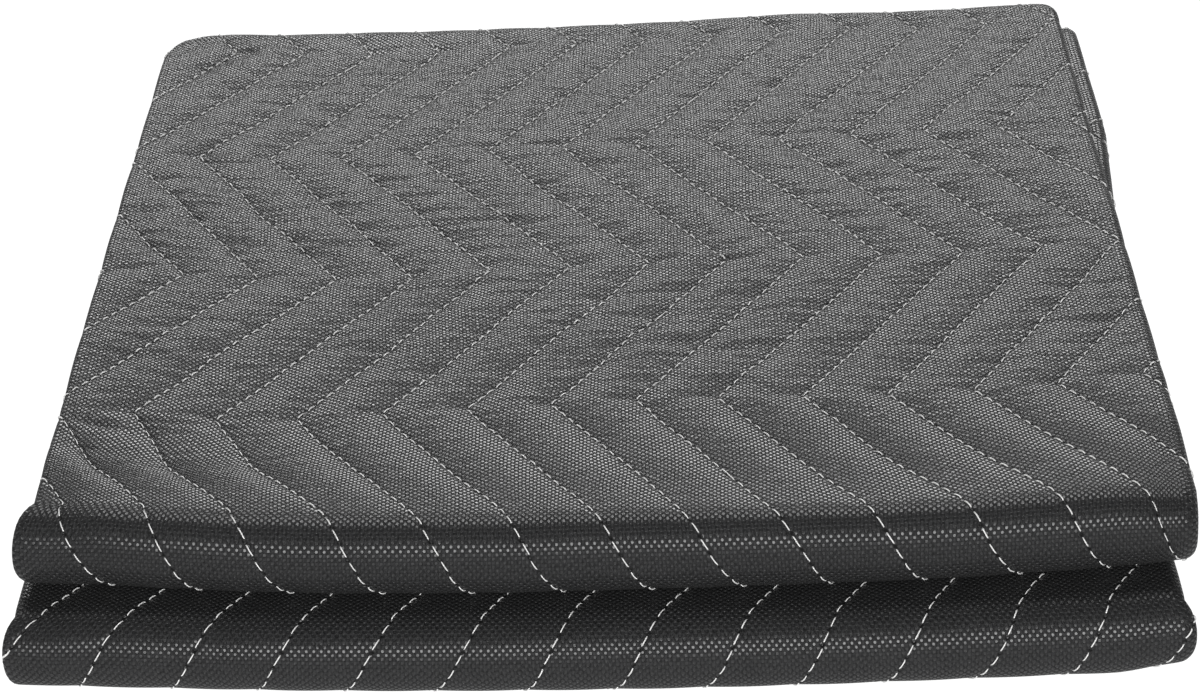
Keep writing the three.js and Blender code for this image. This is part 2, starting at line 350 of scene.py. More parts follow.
# Main creases of the upper blanket, from the first chevron row: where the middle lies, how long
# and wide the trough is, which way it runs in degrees from +X, and how deep it is
CREASES = [
    dict(x=-231, y=-14, length=40, width=1.7, angle=-12, depth=1.4),
    dict(x=-238, y=-36, length=24, width=2.4, angle=4, depth=0.9),
    dict(x=-207, y=447, length=52, width=2.8, angle=46, depth=1.4),
    dict(x=-233, y=470, length=26, width=3.4, angle=40, depth=1.6),
    dict(x=-229, y=228, length=40, width=3.4, angle=22, depth=0.9),
    dict(x=-224, y=216, length=44, width=3.4, angle=16, depth=0.9),
    dict(x=-240, y=156, length=26, width=3, angle=6, depth=0.9),
    dict(x=-214, y=306, length=36, width=4, angle=24, depth=0.8),
    dict(x=218, y=352, length=36, width=4, angle=8, depth=0.8),
]


def trough(t, length, crease):
    angle = math.radians(crease["angle"])
    along = (t - crease["x"]) * math.cos(angle) + (length - crease["y"]) * math.sin(angle)
    aside = (length - crease["y"]) * math.cos(angle) - (t - crease["x"]) * math.sin(angle)
    bend = aside + CREASE_BEND * along**2
    return crease["depth"] * np.exp(-(2 * along / crease["length"]) ** 2 - (bend / crease["width"]) ** 2)


def puckers(blanket, t, length):
    """Short troughs that point away from each chevron point."""
    rows = (length - blanket["vertex_row"]) / CHEVRON_RUN
    row = np.round(rows)
    aside = (rows - row) * CHEVRON_RUN
    points_right = (row + blanket["right_vertex"]) % 2
    anchor = blanket["line_x"] + CHEVRON_SWING * points_right
    beyond = np.where(points_right == 1, t - anchor, anchor - t) % LINE_SPACING
    lift = aside - PUCKER_RISE * beyond
    shape = np.exp(-((lift / PUCKER_WIDTH) ** 2)) * np.exp(-beyond / PUCKER_REACH)
    return PUCKER_DEPTH * shape * ease(beyond / PUCKER_START)


# %% Wrinkles across the channels
WRINKLE_DEPTH = 1.0
WRINKLE_SEED = 11
FINE_WRINKLES = (19, 5.2)
BROAD_WRINKLES = (30, 9.5)
WRINKLE_SHARE = 0.6
PATCHES = (55, 70)
PATCH_SHARE = 0.45
DRIFTS = (46, 80)
DRIFT = 5
ARCH = 0.00016
ARCH_MIDDLE = -60


def wrinkles(blanket, t, length):
    seed = WRINKLE_SEED + blanket["layer"]
    arched = length + DRIFT * soft_noise(t, length, DRIFTS, seed) - ARCH * (t - ARCH_MIDDLE) ** 2
    fine = soft_noise(t, arched, FINE_WRINKLES, seed + 20)
    broad = soft_noise(t, arched, BROAD_WRINKLES, seed + 40)
    patches = 1 - PATCH_SHARE + PATCH_SHARE * soft_noise(t, length, PATCHES, seed + 60)
    return WRINKLE_DEPTH * patches * WRINKLE_SHARE * (fine + broad)


def wrinkled_zone(blanket, t, length):
    """Most wrinkles lie between the first and third chevron rows, and along the left edge."""
    from_row = length - blanket["vertex_row"]
    behind = ease((from_row + 30) / 70)
    left = ease((-t - 150) / 70)
    front = np.maximum(behind, 0.85 * left * ease((from_row + 70) / 60))
    return front * (1 - 0.5 * ease((from_row - 300) / 120))


# %% All relief together, and where it shows
QUILT_DEPTH = 1.45
NOSE_QUILT_DEPTH = 0.5
QUILT_FADE = 40
EDGE_SHARE = 0.3
EDGE_FADE = 16
RIGHT_REACH = 18
LEFT_REACH = 7
HEM_MARGIN = 8
FOLD_FADE = 8
FOLD_MARGIN = 2


def relief(blanket, t, length):
    strip = blanket["strip"]
    nose_end = strip["nose"]["first"] + strip["nose"]["length"]
    over_top = ease((length - nose_end) / QUILT_FADE)
    depth = NOSE_QUILT_DEPTH + (QUILT_DEPTH - NOSE_QUILT_DEPTH) * over_top
    channel = depth * (1 - ridge_share(blanket, t, length)) ** 2
    puckered = over_top * puckers(blanket, t, length)
    flat_ply = ease((FOLD_RIGHT + FOLD_MARGIN - t) / FOLD_FADE)
    flat_ply *= ease((t - FOLD_LEFT + FOLD_MARGIN) / FOLD_FADE)
    wrinkled = over_top * flat_ply * wrinkled_zone(blanket, t, length) * wrinkles(blanket, t, length)
    creased = np.zeros_like(t)
    if blanket["layer"] == 1:
        for crease in CREASES:
            creased += trough(t, length - blanket["vertex_row"], crease)
    shown = ease((FOLD_RIGHT + RIGHT_REACH - t) / 4) * ease((t - FOLD_LEFT + LEFT_REACH) / 3)
    from_edge = np.minimum.reduce([FOLD_RIGHT - t, t - FOLD_LEFT, blanket["length"] - length - HEM_MARGIN])
    shown *= EDGE_SHARE + (1 - EDGE_SHARE) * ease(from_edge / EDGE_FADE)
    pressed_flat = ease((length - strip["bottom"]["first"]) / 10)
    pressed_flat *= 1 - ease((length - strip["nose"]["first"]) / 12)
    return shown * (1 - pressed_flat) * (channel + puckered + wrinkled + creased)


# %% [markdown]
# ## Unevenness of the whole packet
#
# A folded packet is never a box. Its front edge draws back towards the ends, the ends of the
# nose puff out past the sides, the inner plies stand out at the back, the corners behind are
# round, and the whole stack is a little fuller along its sides than in the middle. A nose that
# has been pressed is squarer than a true half circle, and hands that folded the cloth have left
# it pulled a few millimetres this way and that, which the stitch lines show.
#
# Each of these is a small shift of a point, with a smooth fade at its limits. They are simpler to
# judge one by one than a sculpted mesh would be, and thread and cloth take the same shifts.

# %% Pulls in the cloth
# Where the upper blanket's cloth lies off its even place: middle of the pull from the stack's
# middle and the first chevron row, its reach across and along, and how far it is drawn back
PULLS = [
    dict(x=-165, y=0, across=48, along=70, by=-9),
    dict(x=-205, y=-52, across=85, along=44, by=-12),
    dict(x=-240, y=230, across=50, along=110, by=6),
    dict(x=30, y=0, across=70, along=60, by=4),
    dict(x=-110, y=140, across=36, along=50, by=-4),
    dict(x=160, y=320, across=70, along=60, by=4.5),
    dict(x=-115, y=454, across=36, along=36, by=-5),
    dict(x=-125, y=496, across=62, along=30, by=9),
    dict(x=115, y=454, across=50, along=60, by=6),
    dict(x=-235, y=470, across=45, along=70, by=4),
]

# The same for cloth that is drawn sideways, near the ends of the nose
DRAWN_ASIDE = [
    dict(x=-165, y=-72, across=70, along=46, by=-5.5),
    dict(x=190, y=-112, across=72, along=42, by=6.5),
]
PULL_START = 8
PULL_FADE = 60
ASIDE_FADE = 20
SIDE_FADE = 26
WIDE_WAVER = (58, 41)
NARROW_WAVER = (24, 15)


def add_pulls(pulls, x, y):
    """Each pull is strongest in its middle and fades out all round."""
    total = np.zeros_like(x)
    for pull in pulls:
        across = (x - pull["x"]) / pull["across"]
        along = (y - pull["y"]) / pull["along"]
        total += pull["by"] * np.exp(-(across**2) - along**2)
    return total


def drawn_by_thread(x, length, seed):
    """Small shifts within the cloth, which make the stitch lines waver."""
    wide = soft_noise(x, length, WIDE_WAVER, seed)
    narrow = soft_noise(x, length, NARROW_WAVER, seed + 1)
    return 1.3 * wide + 0.55 * narrow


# %% Round corners, square nose and swelling
STACK_HEIGHT = 2 * PACKET_HEIGHT + BLANKET_GAP
SIDE_RISE = 1.7
HOLLOW_DEPTH = 1.0
LEFT_BACK_RISE = 2.4
ROUND_ENDS = 3.5
CORNER_LIFT = 4.5


def round_corner(x, y, side, edge_x, edge_y, radius):
    """Draws a square corner in to a round one, with the cloth beside it."""
    a = np.clip((side * x - (edge_x - radius)) / radius, 0, 1)
    b = np.clip((y - (edge_y - radius)) / radius, 0, 1)
    x = x + side * radius * a * (np.sqrt(1 - b**2 / 2) - 1)
    y = y + radius * b * (np.sqrt(1 - a**2 / 2) - 1)
    return x, y


def square_nose(blanket, y, z):
    """Fills the round nose out a little towards a square, as a folded edge that is pressed flat."""
    ahead = np.minimum(0, y - blanket["nose_y"])
    above = z - PACKET_HEIGHT / 2
    distance = np.maximum(np.hypot(ahead, above), 1e-6)
    power = np.where(above > 0, blanket["square_above"], blanket["square_below"])
    corners = (np.abs(ahead / distance) ** power + np.abs(above / distance) ** power) ** (1 / power)
    fuller = np.where(ahead < 0, 1 / corners, 1)
    return y + ahead * (fuller - 1), z + above * (fuller - 1)


def swell(x, y):
    """Extra height of the stack: full along its sides, low a hand's width in from them."""
    sides = SIDE_RISE * (x / FOLD_RIGHT) ** 4
    hollows = HOLLOW_DEPTH * np.exp(-(((np.abs(x) - 140) / 55) ** 2))
    left_back = LEFT_BACK_RISE * np.exp(-(((x + 245) / 60) ** 2)) * ease((y + 20) / 130)
    loose = 0.7 * soft_noise(x + 450, y, (90, 75), 3) + 0.35 * soft_noise(x, y, (45, 38), 4)
    round_ends = ROUND_ENDS * ease((np.abs(x) - 215) / 35) * ease((-35 - y) / 70)
    return sides - hollows + left_back + loose - round_ends


def corner_lift(x, y):
    """The right corner in front stands a little off the floor."""
    return CORNER_LIFT * ease((x - 212) / 38) * ease((-60 - y) / 50)


# %% Move folded points to their uneven places
BOW_FADE = 300
PUFF_POWER = 0.75
BACKWARD_START = 280
BACKWARD_REACH = 150
CORNER_MARGIN_X = 4
CORNER_MARGIN_Y = 10
WAVER_SEED = 70


def settle(blanket, x, y, length):
    """From the even packet to the uneven one, seen from above, in millimetres."""
    strip = blanket["strip"]
    drawn_back = np.maximum(0, blanket["bow_left"] - x) ** 2 + np.maximum(0, x - blanket["bow_right"]) ** 2
    forward = np.clip(1 - (y - blanket["nose_y"]) / BOW_FADE, 0, 1)
    from_nose = length - blanket["nose_middle"] + blanket["puff_drop"]
    from_nose /= np.where(from_nose > 0, blanket["puff_above"], blanket["puff_below"])
    puff = np.maximum(0, 1 - from_nose**2) ** PUFF_POWER
    inside = length < strip["top"]["first"]
    backward = inside * np.clip((y - blanket["nose_y"] - BACKWARD_START) / BACKWARD_REACH, 0, 1)
    across = x / FOLD_RIGHT
    left = blanket["nose_left"] * puff + blanket["back_left"] * backward
    right = blanket["nose_right"] * puff + blanket["back_right"] * backward
    inner = ease((FOLD_RIGHT - np.abs(x)) / SIDE_FADE)
    moved_x = blanket["middle_x"] + x + across * np.abs(across) * np.where(x < 0, left, right)
    moved_x += inner * drawn_by_thread(x, length, WAVER_SEED + blanket["layer"])
    moved_y = y + blanket["bow"] * drawn_back * forward
    if blanket["layer"] == 1:
        moved_x += add_pulls(DRAWN_ASIDE, x, y) * ease((FOLD_RIGHT - np.abs(x)) / ASIDE_FADE)
        moved_y += add_pulls(PULLS, x, y) * ease((y - blanket["nose_y"] - PULL_START) / PULL_FADE)
    return moved_x, moved_y


def fold_sheet(blanket, t, length, offset):
    """From the flat sheet, and the offset from its middle, to metres in the shared frame."""
    x, n, face_x, face_n = across_sheet(t)
    y, z, out_y, out_z = along_strip(blanket, length)
    across = x + face_x * offset
    above = n + face_n * offset
    y, z = square_nose(blanket, y + out_y * above, z + out_z * above)
    x, y = settle(blanket, across, y, length)
    back_y = blanket["nose_y"] + blanket["top_run"] + CORNER_MARGIN_Y
    for side, corner in ((-1, "corner_left"), (1, "corner_right")):
        x, y = round_corner(x, y, side, FOLD_RIGHT + CORNER_MARGIN_X, back_y, blanket[corner])
    z = z + blanket["layer"] * (PACKET_HEIGHT + BLANKET_GAP)
    lift = corner_lift(x, y)
    z = lift + z * (1 + (swell(x, y) - lift) / STACK_HEIGHT)
    return np.stack([(x + CENTRE_SHIFT[0]) * MM, (y + CENTRE_SHIFT[1]) * MM, z * MM], axis=-1)


# %% [markdown]
# ## Where the mesh needs its points
#
# A stitch line looks crisp only where mesh edges run along it. So the columns of the outer ply
# follow the zigzag, close together beside each line and further apart on the ridge, and they
# stop at the side folds. Rows are close where the cloth shows and wide where it is hidden.

# %% Rows along the strip and columns across the sheet
HEM_STEPS = (0, 0.35, 1.2)
FOLD_COLUMNS = {"wide fold": 12, "left fold": 8, "right fold": 4}
HIDDEN_COLUMNS = 4
RIDGE_STEPS = 5
CLOSER_AT_LINE = 1.4
SNAP = 0.8
ROW_PITCH = {
    "bottom": dict(inner=18, back=3.6, bottom=18, nose=3, top=14),
    "top": dict(inner=18, back=3.6, bottom=18, nose=3, top=3.15, droop=2.5),
}


def row_lengths(blanket, pitches):
    rows = [0.0]
    for stretch in blanket["strip"].values():
        count = max(2, round(stretch["length"] / pitches[stretch["name"]]))
        rows.extend(stretch["first"] + stretch["length"] * (step + 1) / count for step in range(count))
    rows.extend(HEM_STEPS[1:])
    rows.extend(blanket["length"] - step for step in HEM_STEPS[1:])
    return np.array(sorted(rows))


def even_columns(quarter, steps):
    return np.linspace(quarter["from_t"], quarter["to_t"], steps + 1)[:-1]


def hidden_columns(quarter):
    columns = list(even_columns(quarter, HIDDEN_COLUMNS))
    if quarter["name"] == "inner hem ply":
        columns[1:1] = [FIRST_HEM - step for step in HEM_STEPS[1:]]
    if quarter["name"] == "third ply":
        columns += [LAST_HEM + step for step in reversed(HEM_STEPS)]
    return columns


def sheet_columns(blanket, rows):
    """A place across the sheet for each row and column, from the first hem to the last."""
    anchors = line_anchor(blanket, rows)[:, None]
    lowest = math.floor((FOLD_LEFT - blanket["line_x"] - CHEVRON_SWING) / LINE_SPACING)
    highest = math.ceil((FOLD_RIGHT - blanket["line_x"]) / LINE_SPACING)
    beside = [(step / RIDGE_STEPS) ** CLOSER_AT_LINE / 2 for step in range(RIDGE_STEPS + 1)]
    within = beside[:-1] + [1 - share for share in reversed(beside[1:])]
    places = sorted((line + share for line in range(lowest, highest + 1) for share in within), reverse=True)
    parts = []
    for quarter in QUARTERS:
        if quarter["name"] == "outer ply":
            across = anchors + LINE_SPACING * np.array(places)[None, :]
            across = np.where(across > FOLD_RIGHT - SNAP, FOLD_RIGHT, across)
            across = np.where(across < FOLD_LEFT + SNAP, FOLD_LEFT, across)
            parts.append(across)
        else:
            steps = FOLD_COLUMNS.get(quarter["name"])
            columns = even_columns(quarter, steps) if steps else hidden_columns(quarter)
            parts.append(np.broadcast_to(np.array(columns)[None, :], (len(rows), len(columns))))
    return np.concatenate(parts, axis=1)


# %% [markdown]
# ## Cutting, thickening and folding the sheet
#
# The grid operator makes the flat sheet, whose points are then slid to the rows and columns
# above. Columns that met at a side fold are merged, and solidify gives the sheet its second
# face while it is still flat, where nothing can go wrong in a tight fold. The flat places are
# kept as a UV map in metres, so that every pattern of the cover follows the cloth. Only then
# is the sheet folded. Near a hem the thickness runs out along a quarter circle, which makes
# the hem a soft rounded edge.

# %% Make one blanket's cloth
CLOTH_MAP = "cloth"
THINNEST = 0.06


def cut_flat_sheet(rows, columns):
    flat = bmesh.new()
    last_row, last_column = (size - 1 for size in columns.shape)
    bmesh.ops.create_grid(flat, x_segments=last_column, y_segments=last_row, size=0.5)
    for point in flat.verts:
        column = round((point.co.x + 0.5) * last_column)
        row = round((point.co.y + 0.5) * last_row)
        point.co = (columns[row, column] * MM, rows[row] * MM, 0)
    bmesh.ops.remove_doubles(flat, verts=flat.verts, dist=1e-6)
    bmesh.ops.recalc_face_normals(flat, faces=flat.faces)
    if sum(face.normal.z for face in flat.faces) < 0:
        bmesh.ops.reverse_faces(flat, faces=flat.faces)
    bmesh.ops.solidify(flat, geom=flat.faces[:], thickness=SHEET_THICKNESS * MM)
    bmesh.ops.recalc_face_normals(flat, faces=flat.faces)
    return flat


def hem_share(distance):
    """How much of the thickness is left this far from a hem."""
    reach = np.clip(distance / HALF_SHEET, THINNEST, 1)
    return np.sqrt(1 - (1 - reach) ** 2)


def mesh_places(mesh):
    places = np.empty(len(mesh.vertices) * 3)
    mesh.vertices.foreach_get("co", places)
    return places.reshape(-1, 3)


def keep_cloth_map(mesh, t, from_row):
    corners = np.empty(len(mesh.loops), dtype=int)
    mesh.loops.foreach_get("vertex_index", corners)
    places = np.stack([t, from_row], axis=-1)[corners] * MM
    layer = mesh.uv_layers.new(name=CLOTH_MAP)
    layer.data.foreach_set("uv", places.astype(np.float32).ravel())


def make_cloth(name, blanket, pitches):
    rows = row_lengths(blanket, pitches)
    flat = cut_flat_sheet(rows, sheet_columns(blanket, rows))
    mesh = bpy.data.meshes.new(name)
    flat.to_mesh(mesh)
    flat.free()
    places = mesh_places(mesh)
    t, length = places[:, 0] / MM, places[:, 1] / MM
    middle = (places[:, 2].max() + places[:, 2].min()) / 2
    side = np.sign(places[:, 2] - middle)
    keep_cloth_map(mesh, t, length - blanket["vertex_row"])
    to_hem = np.minimum.reduce([FIRST_HEM - t, t - LAST_HEM, length, blanket["length"] - length])
    drawn_in = np.where(side > 0, relief(blanket, t, length), 0)
    folded = fold_sheet(blanket, t, length, side * HALF_SHEET * hem_share(to_hem) - drawn_in)
    mesh.vertices.foreach_set("co", folded.astype(np.float32).ravel())
    mesh.shade_smooth()
    mesh.update()
    triangles = sum(len(face.vertices) - 2 for face in mesh.polygons)
    print(name, len(rows), "rows,", triangles, "triangles, box", folded.min(0), folded.max(0))
    return add_object(name, mesh)


cloths = {
    name: make_cloth(f"{name}_blanket_cloth", blanket, ROW_PITCH[name])
    for name, blanket in BLANKETS.items()
}

# %% [markdown]
# ## Building shader nodes
#
# Materials here are made of many small nodes, so one helper adds a node, fills its sockets in
# order with numbers or links, and gives back its first output. Another fills a node's sockets by
# name. What more than one material or blanket uses becomes a node group with named sockets: the
# bonded points of the cover, the stitch lines, and the fibre grain.

# %% Helpers for node trees
def fill(tree, socket, value):
    """Links a socket to another, or gives it a value."""
    if isinstance(value, bpy.types.NodeSocket):
        tree.links.new(value, socket)
    else:
        socket.default_value = value


def fill_named(tree, node, values):
    for name, value in values.items():
        fill(tree, node.inputs[name], value)
    return node.outputs


def put(tree, kind, *values, **settings):
    """Adds a node and returns its first output."""
    node = tree.nodes.new(kind)
    for name, value in settings.items():
        setattr(node, name, value)
    for socket, value in zip(node.inputs, values):
        fill(tree, socket, value)
    return node.outputs[0]


def maths(tree, operation, *values):
    return put(tree, "ShaderNodeMath", *values, operation=operation)


def smooth_range(tree, value, start, end):
    """0 before start, 1 past end, with a smooth rise between."""
    return put(tree, "ShaderNodeMapRange", value, start, end, 0.0, 1.0, interpolation_type="SMOOTHSTEP")


def mix_colours(tree, factor, first, second, blend="MIX"):
    node = put(tree, "ShaderNodeMix", factor, data_type="RGBA", blend_type=blend).node
    return fill_named(tree, node, {"A": first, "B": second})["Result"]


def bumped(tree, height, distance):
    """The normal of a surface that this height raises, in units of the distance."""
    node = tree.nodes.new("ShaderNodeBump")
    return fill_named(tree, node, {"Strength": 1.0, "Distance": distance, "Height": height})["Normal"]


def new_material(name):
    material = bpy.data.materials.new(name)
    material.use_nodes = True
    return material, material.node_tree, material.node_tree.nodes["Principled BSDF"]


def new_group(name, inputs, outputs):
    """A node group with named inputs and outputs, which are vectors where they hold no number."""
    group = bpy.data.node_groups.new(name, "ShaderNodeTree")
    for socket_name, value in inputs.items():
        kind = "NodeSocketVector" if value is None else "NodeSocketFloat"
        socket = group.interface.new_socket(socket_name, in_out="INPUT", socket_type=kind)
        if value is not None:
            socket.default_value = value
    for socket_name in outputs:
        group.interface.new_socket(socket_name, in_out="OUTPUT", socket_type="NodeSocketFloat")
    entry = group.nodes.new("NodeGroupInput")
    leave = group.nodes.new("NodeGroupOutput")
    return group, entry.outputs, leave.inputs


def use_group(tree, group, values):
    node = tree.nodes.new("ShaderNodeGroup")
    node.node_tree = group
    return fill_named(tree, node, values)


# %% [markdown]
# ## The cover's bonded points
#
# A spunbonded cover is a mat of fine fibres, pressed together at small hot points that stand in
# staggered rows. Each point is a shallow, glossy dimple. Adding and taking away the two scaled
# coordinates turns the staggered rows into a plain square lattice, whose cells are then easy to
# measure with a fraction.

# %% Bonded points as a node group
POINT_PITCH = 0.0032
POINT_ROW_PITCH = 0.00325
POINT_RIM = 0.45
POINT_CORE = 0.25


def bonded_points_group():
    group, given, result = new_group(
        "bonded points", {"Cloth": None, "Pitch": POINT_PITCH, "Row Pitch": POINT_ROW_PITCH}, ["Points"])
    place = put(group, "ShaderNodeSeparateXYZ", given["Cloth"]).node
    across = maths(group, "DIVIDE", place.outputs["X"], given["Pitch"])
    along = maths(group, "DIVIDE", place.outputs["Y"], given["Row Pitch"])
    asides = []
    for operation in ("ADD", "SUBTRACT"):
        cell = maths(group, "FRACT", maths(group, operation, across, along))
        aside = maths(group, "SUBTRACT", cell, 0.5)
        asides.append(maths(group, "MULTIPLY", aside, aside))
    distance = maths(group, "SQRT", maths(group, "ADD", *asides))
    group.links.new(smooth_range(group, distance, POINT_RIM, POINT_CORE), result["Points"])
    return group


bonded_points = bonded_points_group()
print("made the group", bonded_points.name)

# %% [markdown]
# ## Stitch lines in the material
#
# The mesh already holds the channels. What is too fine for it is the sharp pull of the thread
# beside each line and the small hole at each end of a stitch, whose shade is painted into the
# cover's colour. The same zigzag formula, written in nodes, finds them on the cloth map.

# %% Stitch lines as a node group
STITCHES_PER_LEG = 23
STITCH_PITCH = CHEVRON_RUN / LEG_COSINE / STITCHES_PER_LEG
HOLE_RADIUS = 0.0011
HOLE_CORE = 0.0003
HOLE_STRETCH = 0.85


def stitch_lines_group():
    group, given, result = new_group(
        "stitch lines", {"Cloth": None, "Line Place": 0.0, "Right Vertex": 0.0}, ["Aside", "Holes"])
    place = put(group, "ShaderNodeSeparateXYZ", given["Cloth"]).node
    leg = maths(group, "DIVIDE", place.outputs["Y"], CHEVRON_RUN * MM)
    share = maths(group, "PINGPONG", leg, 1.0)
    turned = maths(group, "ABSOLUTE", maths(group, "SUBTRACT", given["Right Vertex"], share))
    anchor = maths(group, "MULTIPLY_ADD", turned, CHEVRON_SWING * MM, given["Line Place"])
    across = maths(group, "SUBTRACT", place.outputs["X"], anchor)
    half = LINE_SPACING * MM / 2
    nearest = maths(group, "ABSOLUTE", maths(group, "WRAP", across, half, -half))
    aside = maths(group, "MULTIPLY", nearest, LEG_COSINE)
    count = maths(group, "MULTIPLY", leg, float(STITCHES_PER_LEG))
    from_hole = maths(group, "MULTIPLY", maths(group, "WRAP", count, 0.5, -0.5), STITCH_PITCH * MM)
    drawn_out = maths(group, "MULTIPLY", from_hole, HOLE_STRETCH)
    squares = maths(group, "ADD", maths(group, "MULTIPLY", aside, aside),
                    maths(group, "MULTIPLY", drawn_out, drawn_out))
    holes = smooth_range(group, maths(group, "SQRT", squares), HOLE_RADIUS, HOLE_CORE)
    group.links.new(aside, result["Aside"])
    group.links.new(holes, result["Holes"])
    return group


stitch_lines = stitch_lines_group()
print("made the group", stitch_lines.name, "with a stitch every", round(STITCH_PITCH, 2), "mm")

# %% [markdown]
# ## Fibre grain
#
# Between its bonded points the cover is a tangle of fine fibres, lying mostly along the roll.
# A fine noise stretched along the sheet gives that tangle, and a slow one gives the cloudy thick
# and thin places that every non-woven has when it is held against the light. A third, stretched
# across the sheet, gives the crinkles that are too small for the mesh.

# %% Fibre grain as a node group
# Stretch along each axis, then the noise's scale, detail and roughness
GRAINS = {
    "Fibres": ((1.0, 0.45, 1.0), 1250.0, 2.0, 0.5),
    "Clouds": ((1.0, 1.0, 1.0), 70.0, 3.0, 0.55),
    "Crinkles": ((0.3, 1.0, 1.0), 210.0, 3.0, 0.5),
}


def fibre_grain_group():
    group, given, result = new_group("fibre grain", {"Cloth": None}, GRAINS)
    for name, (stretch, scale, detail, roughness) in GRAINS.items():
        place = put(group, "ShaderNodeVectorMath", given["Cloth"], stretch, operation="MULTIPLY")
        noise = fill_named(group, group.nodes.new("ShaderNodeTexNoise"), {
            "Vector": place, "Scale": scale, "Detail": detail, "Roughness": roughness})
        group.links.new(noise[0], result[name])
    return group


fibre_grain = fibre_grain_group()
print("made the group", fibre_grain.name)

# %% [markdown]
# ## The cover's material
#
# Dark grey polypropylene is matt between the points and glossy on them, which gives the rows of
# bright specks where a nose turns towards the light. A bonded point is melted film, so it is
# smoother and glossier than the loose fibre, and a deeper grey. The stitch holes carry painted
# shade: their shadow is put into the colour. All relief is in metres and goes through one bump
# node, and its crinkles grow faint over the nose, where the cloth is drawn smooth.

# %% Cover material
COVER_DARK = (0.006, 0.0061, 0.0065, 1)
COVER_LIGHT = (0.037, 0.0373, 0.0383, 1)
# Tint multiplied in: the deeper grey of the bonded points, and painted shade in the stitch holes
POINT_AND_HOLE_SHADE_TINT = (0.12, 0.12, 0.12, 1)
POINT_DARKER = 0.28
FIBRE_SHARE = 0.7
LOOSE_ROUGHNESS = 0.68
POINT_ROUGHNESS = 0.28
LOOSE_GLOSS = 0.22
POINT_GLOSS = 0.68
POINT_DEPTH = 0.00027
FIBRE_HEIGHT = 0.00055
FIBRE_LOST_ON_POINTS = 0.85
CRINKLE_HEIGHT = 0.00085
NOSE_CRINKLES = 0.25
PULL_DEPTH = 0.00026
PULL_WIDTH = 0.0024
HOLE_DEPTH = 0.0006


def cover_relief(tree, cloth, points, lines, grain):
    loose = maths(tree, "MULTIPLY_ADD", points, -FIBRE_LOST_ON_POINTS, 1.0)
    fibres = maths(tree, "MULTIPLY", grain["Fibres"], loose)
    along = put(tree, "ShaderNodeSeparateXYZ", cloth).node.outputs["Y"]
    behind_nose = smooth_range(tree, along, -0.06, 0.03)
    crinkled = maths(tree, "MULTIPLY_ADD", behind_nose, 1 - NOSE_CRINKLES, NOSE_CRINKLES)
    crinkles = maths(tree, "MULTIPLY", grain["Crinkles"], crinkled)
    pull = smooth_range(tree, lines["Aside"], PULL_WIDTH, 0.0)
    height = maths(tree, "MULTIPLY", points, -POINT_DEPTH)
    height = maths(tree, "MULTIPLY_ADD", fibres, FIBRE_HEIGHT, height)
    height = maths(tree, "MULTIPLY_ADD", crinkles, CRINKLE_HEIGHT, height)
    height = maths(tree, "MULTIPLY_ADD", pull, -PULL_DEPTH, height)
    return maths(tree, "MULTIPLY_ADD", lines["Holes"], -HOLE_DEPTH, height)


def cover_material(name, blanket):
    material, tree, shader = new_material(name)
    cloth = put(tree, "ShaderNodeUVMap", uv_map=CLOTH_MAP)
    points = use_group(tree, bonded_points, {"Cloth": cloth})["Points"]
    lines = use_group(tree, stitch_lines, {
        "Cloth": cloth, "Line Place": blanket["line_x"] * MM,
        "Right Vertex": float(blanket["right_vertex"])})
    grain = use_group(tree, fibre_grain, {"Cloth": cloth})
    mottled = smooth_range(tree, grain["Fibres"], 0.3, 0.7)
    clouds = maths(tree, "MULTIPLY", grain["Clouds"], 1 - FIBRE_SHARE)
    shade = maths(tree, "MULTIPLY_ADD", mottled, FIBRE_SHARE, clouds)
    tone = mix_colours(tree, shade, COVER_DARK, COVER_LIGHT)
    # Bonded points are a deeper grey film; at the stitch holes this is painted shade
    point_tone_and_hole_shade = maths(tree, "MAXIMUM", maths(tree, "MULTIPLY", points, POINT_DARKER), lines["Holes"])
    height = cover_relief(tree, cloth, points, lines, grain)
    fill_named(tree, shader, {
        "Base Color": mix_colours(tree, point_tone_and_hole_shade, tone, POINT_AND_HOLE_SHADE_TINT, "MULTIPLY"),
        "Roughness": maths(tree, "MULTIPLY_ADD", points, POINT_ROUGHNESS - LOOSE_ROUGHNESS, LOOSE_ROUGHNESS),
        "Specular IOR Level": maths(tree, "MULTIPLY_ADD", points, POINT_GLOSS - LOOSE_GLOSS, LOOSE_GLOSS),
        "Sheen Weight": 0.02,
        "Sheen Roughness": 0.45,
        "Normal": bumped(tree, height, 1.0),
    })
    return material


for name, blanket in BLANKETS.items():
    cloths[name].data.materials.append(cover_material(f"{name}_cover", blanket))
print("cover materials on", [cloth.name for cloth in cloths.values()])

# %% [markdown]
# ## One stitch, and a seam of many
#
# Each visible stitch is a short arch of thread whose ends dive into the cloth. One arch is made
# from a cone with equal ends, cut into rings and bent. An array modifier repeats it into one
# long straight seam, exactly as many stitches as the pattern needs, and the seam is then laid
# along the zigzag lines and folded with the cloth.

# %% One arched stitch
THREAD_RADIUS = 0.29
THREAD_SIDES = 6
STITCH_LENGTH = 5.0
STITCH_RINGS = 5
STITCH_ARCH = 0.74
STITCH_SUNK = 0.27
THREAD_MAP = "thread"


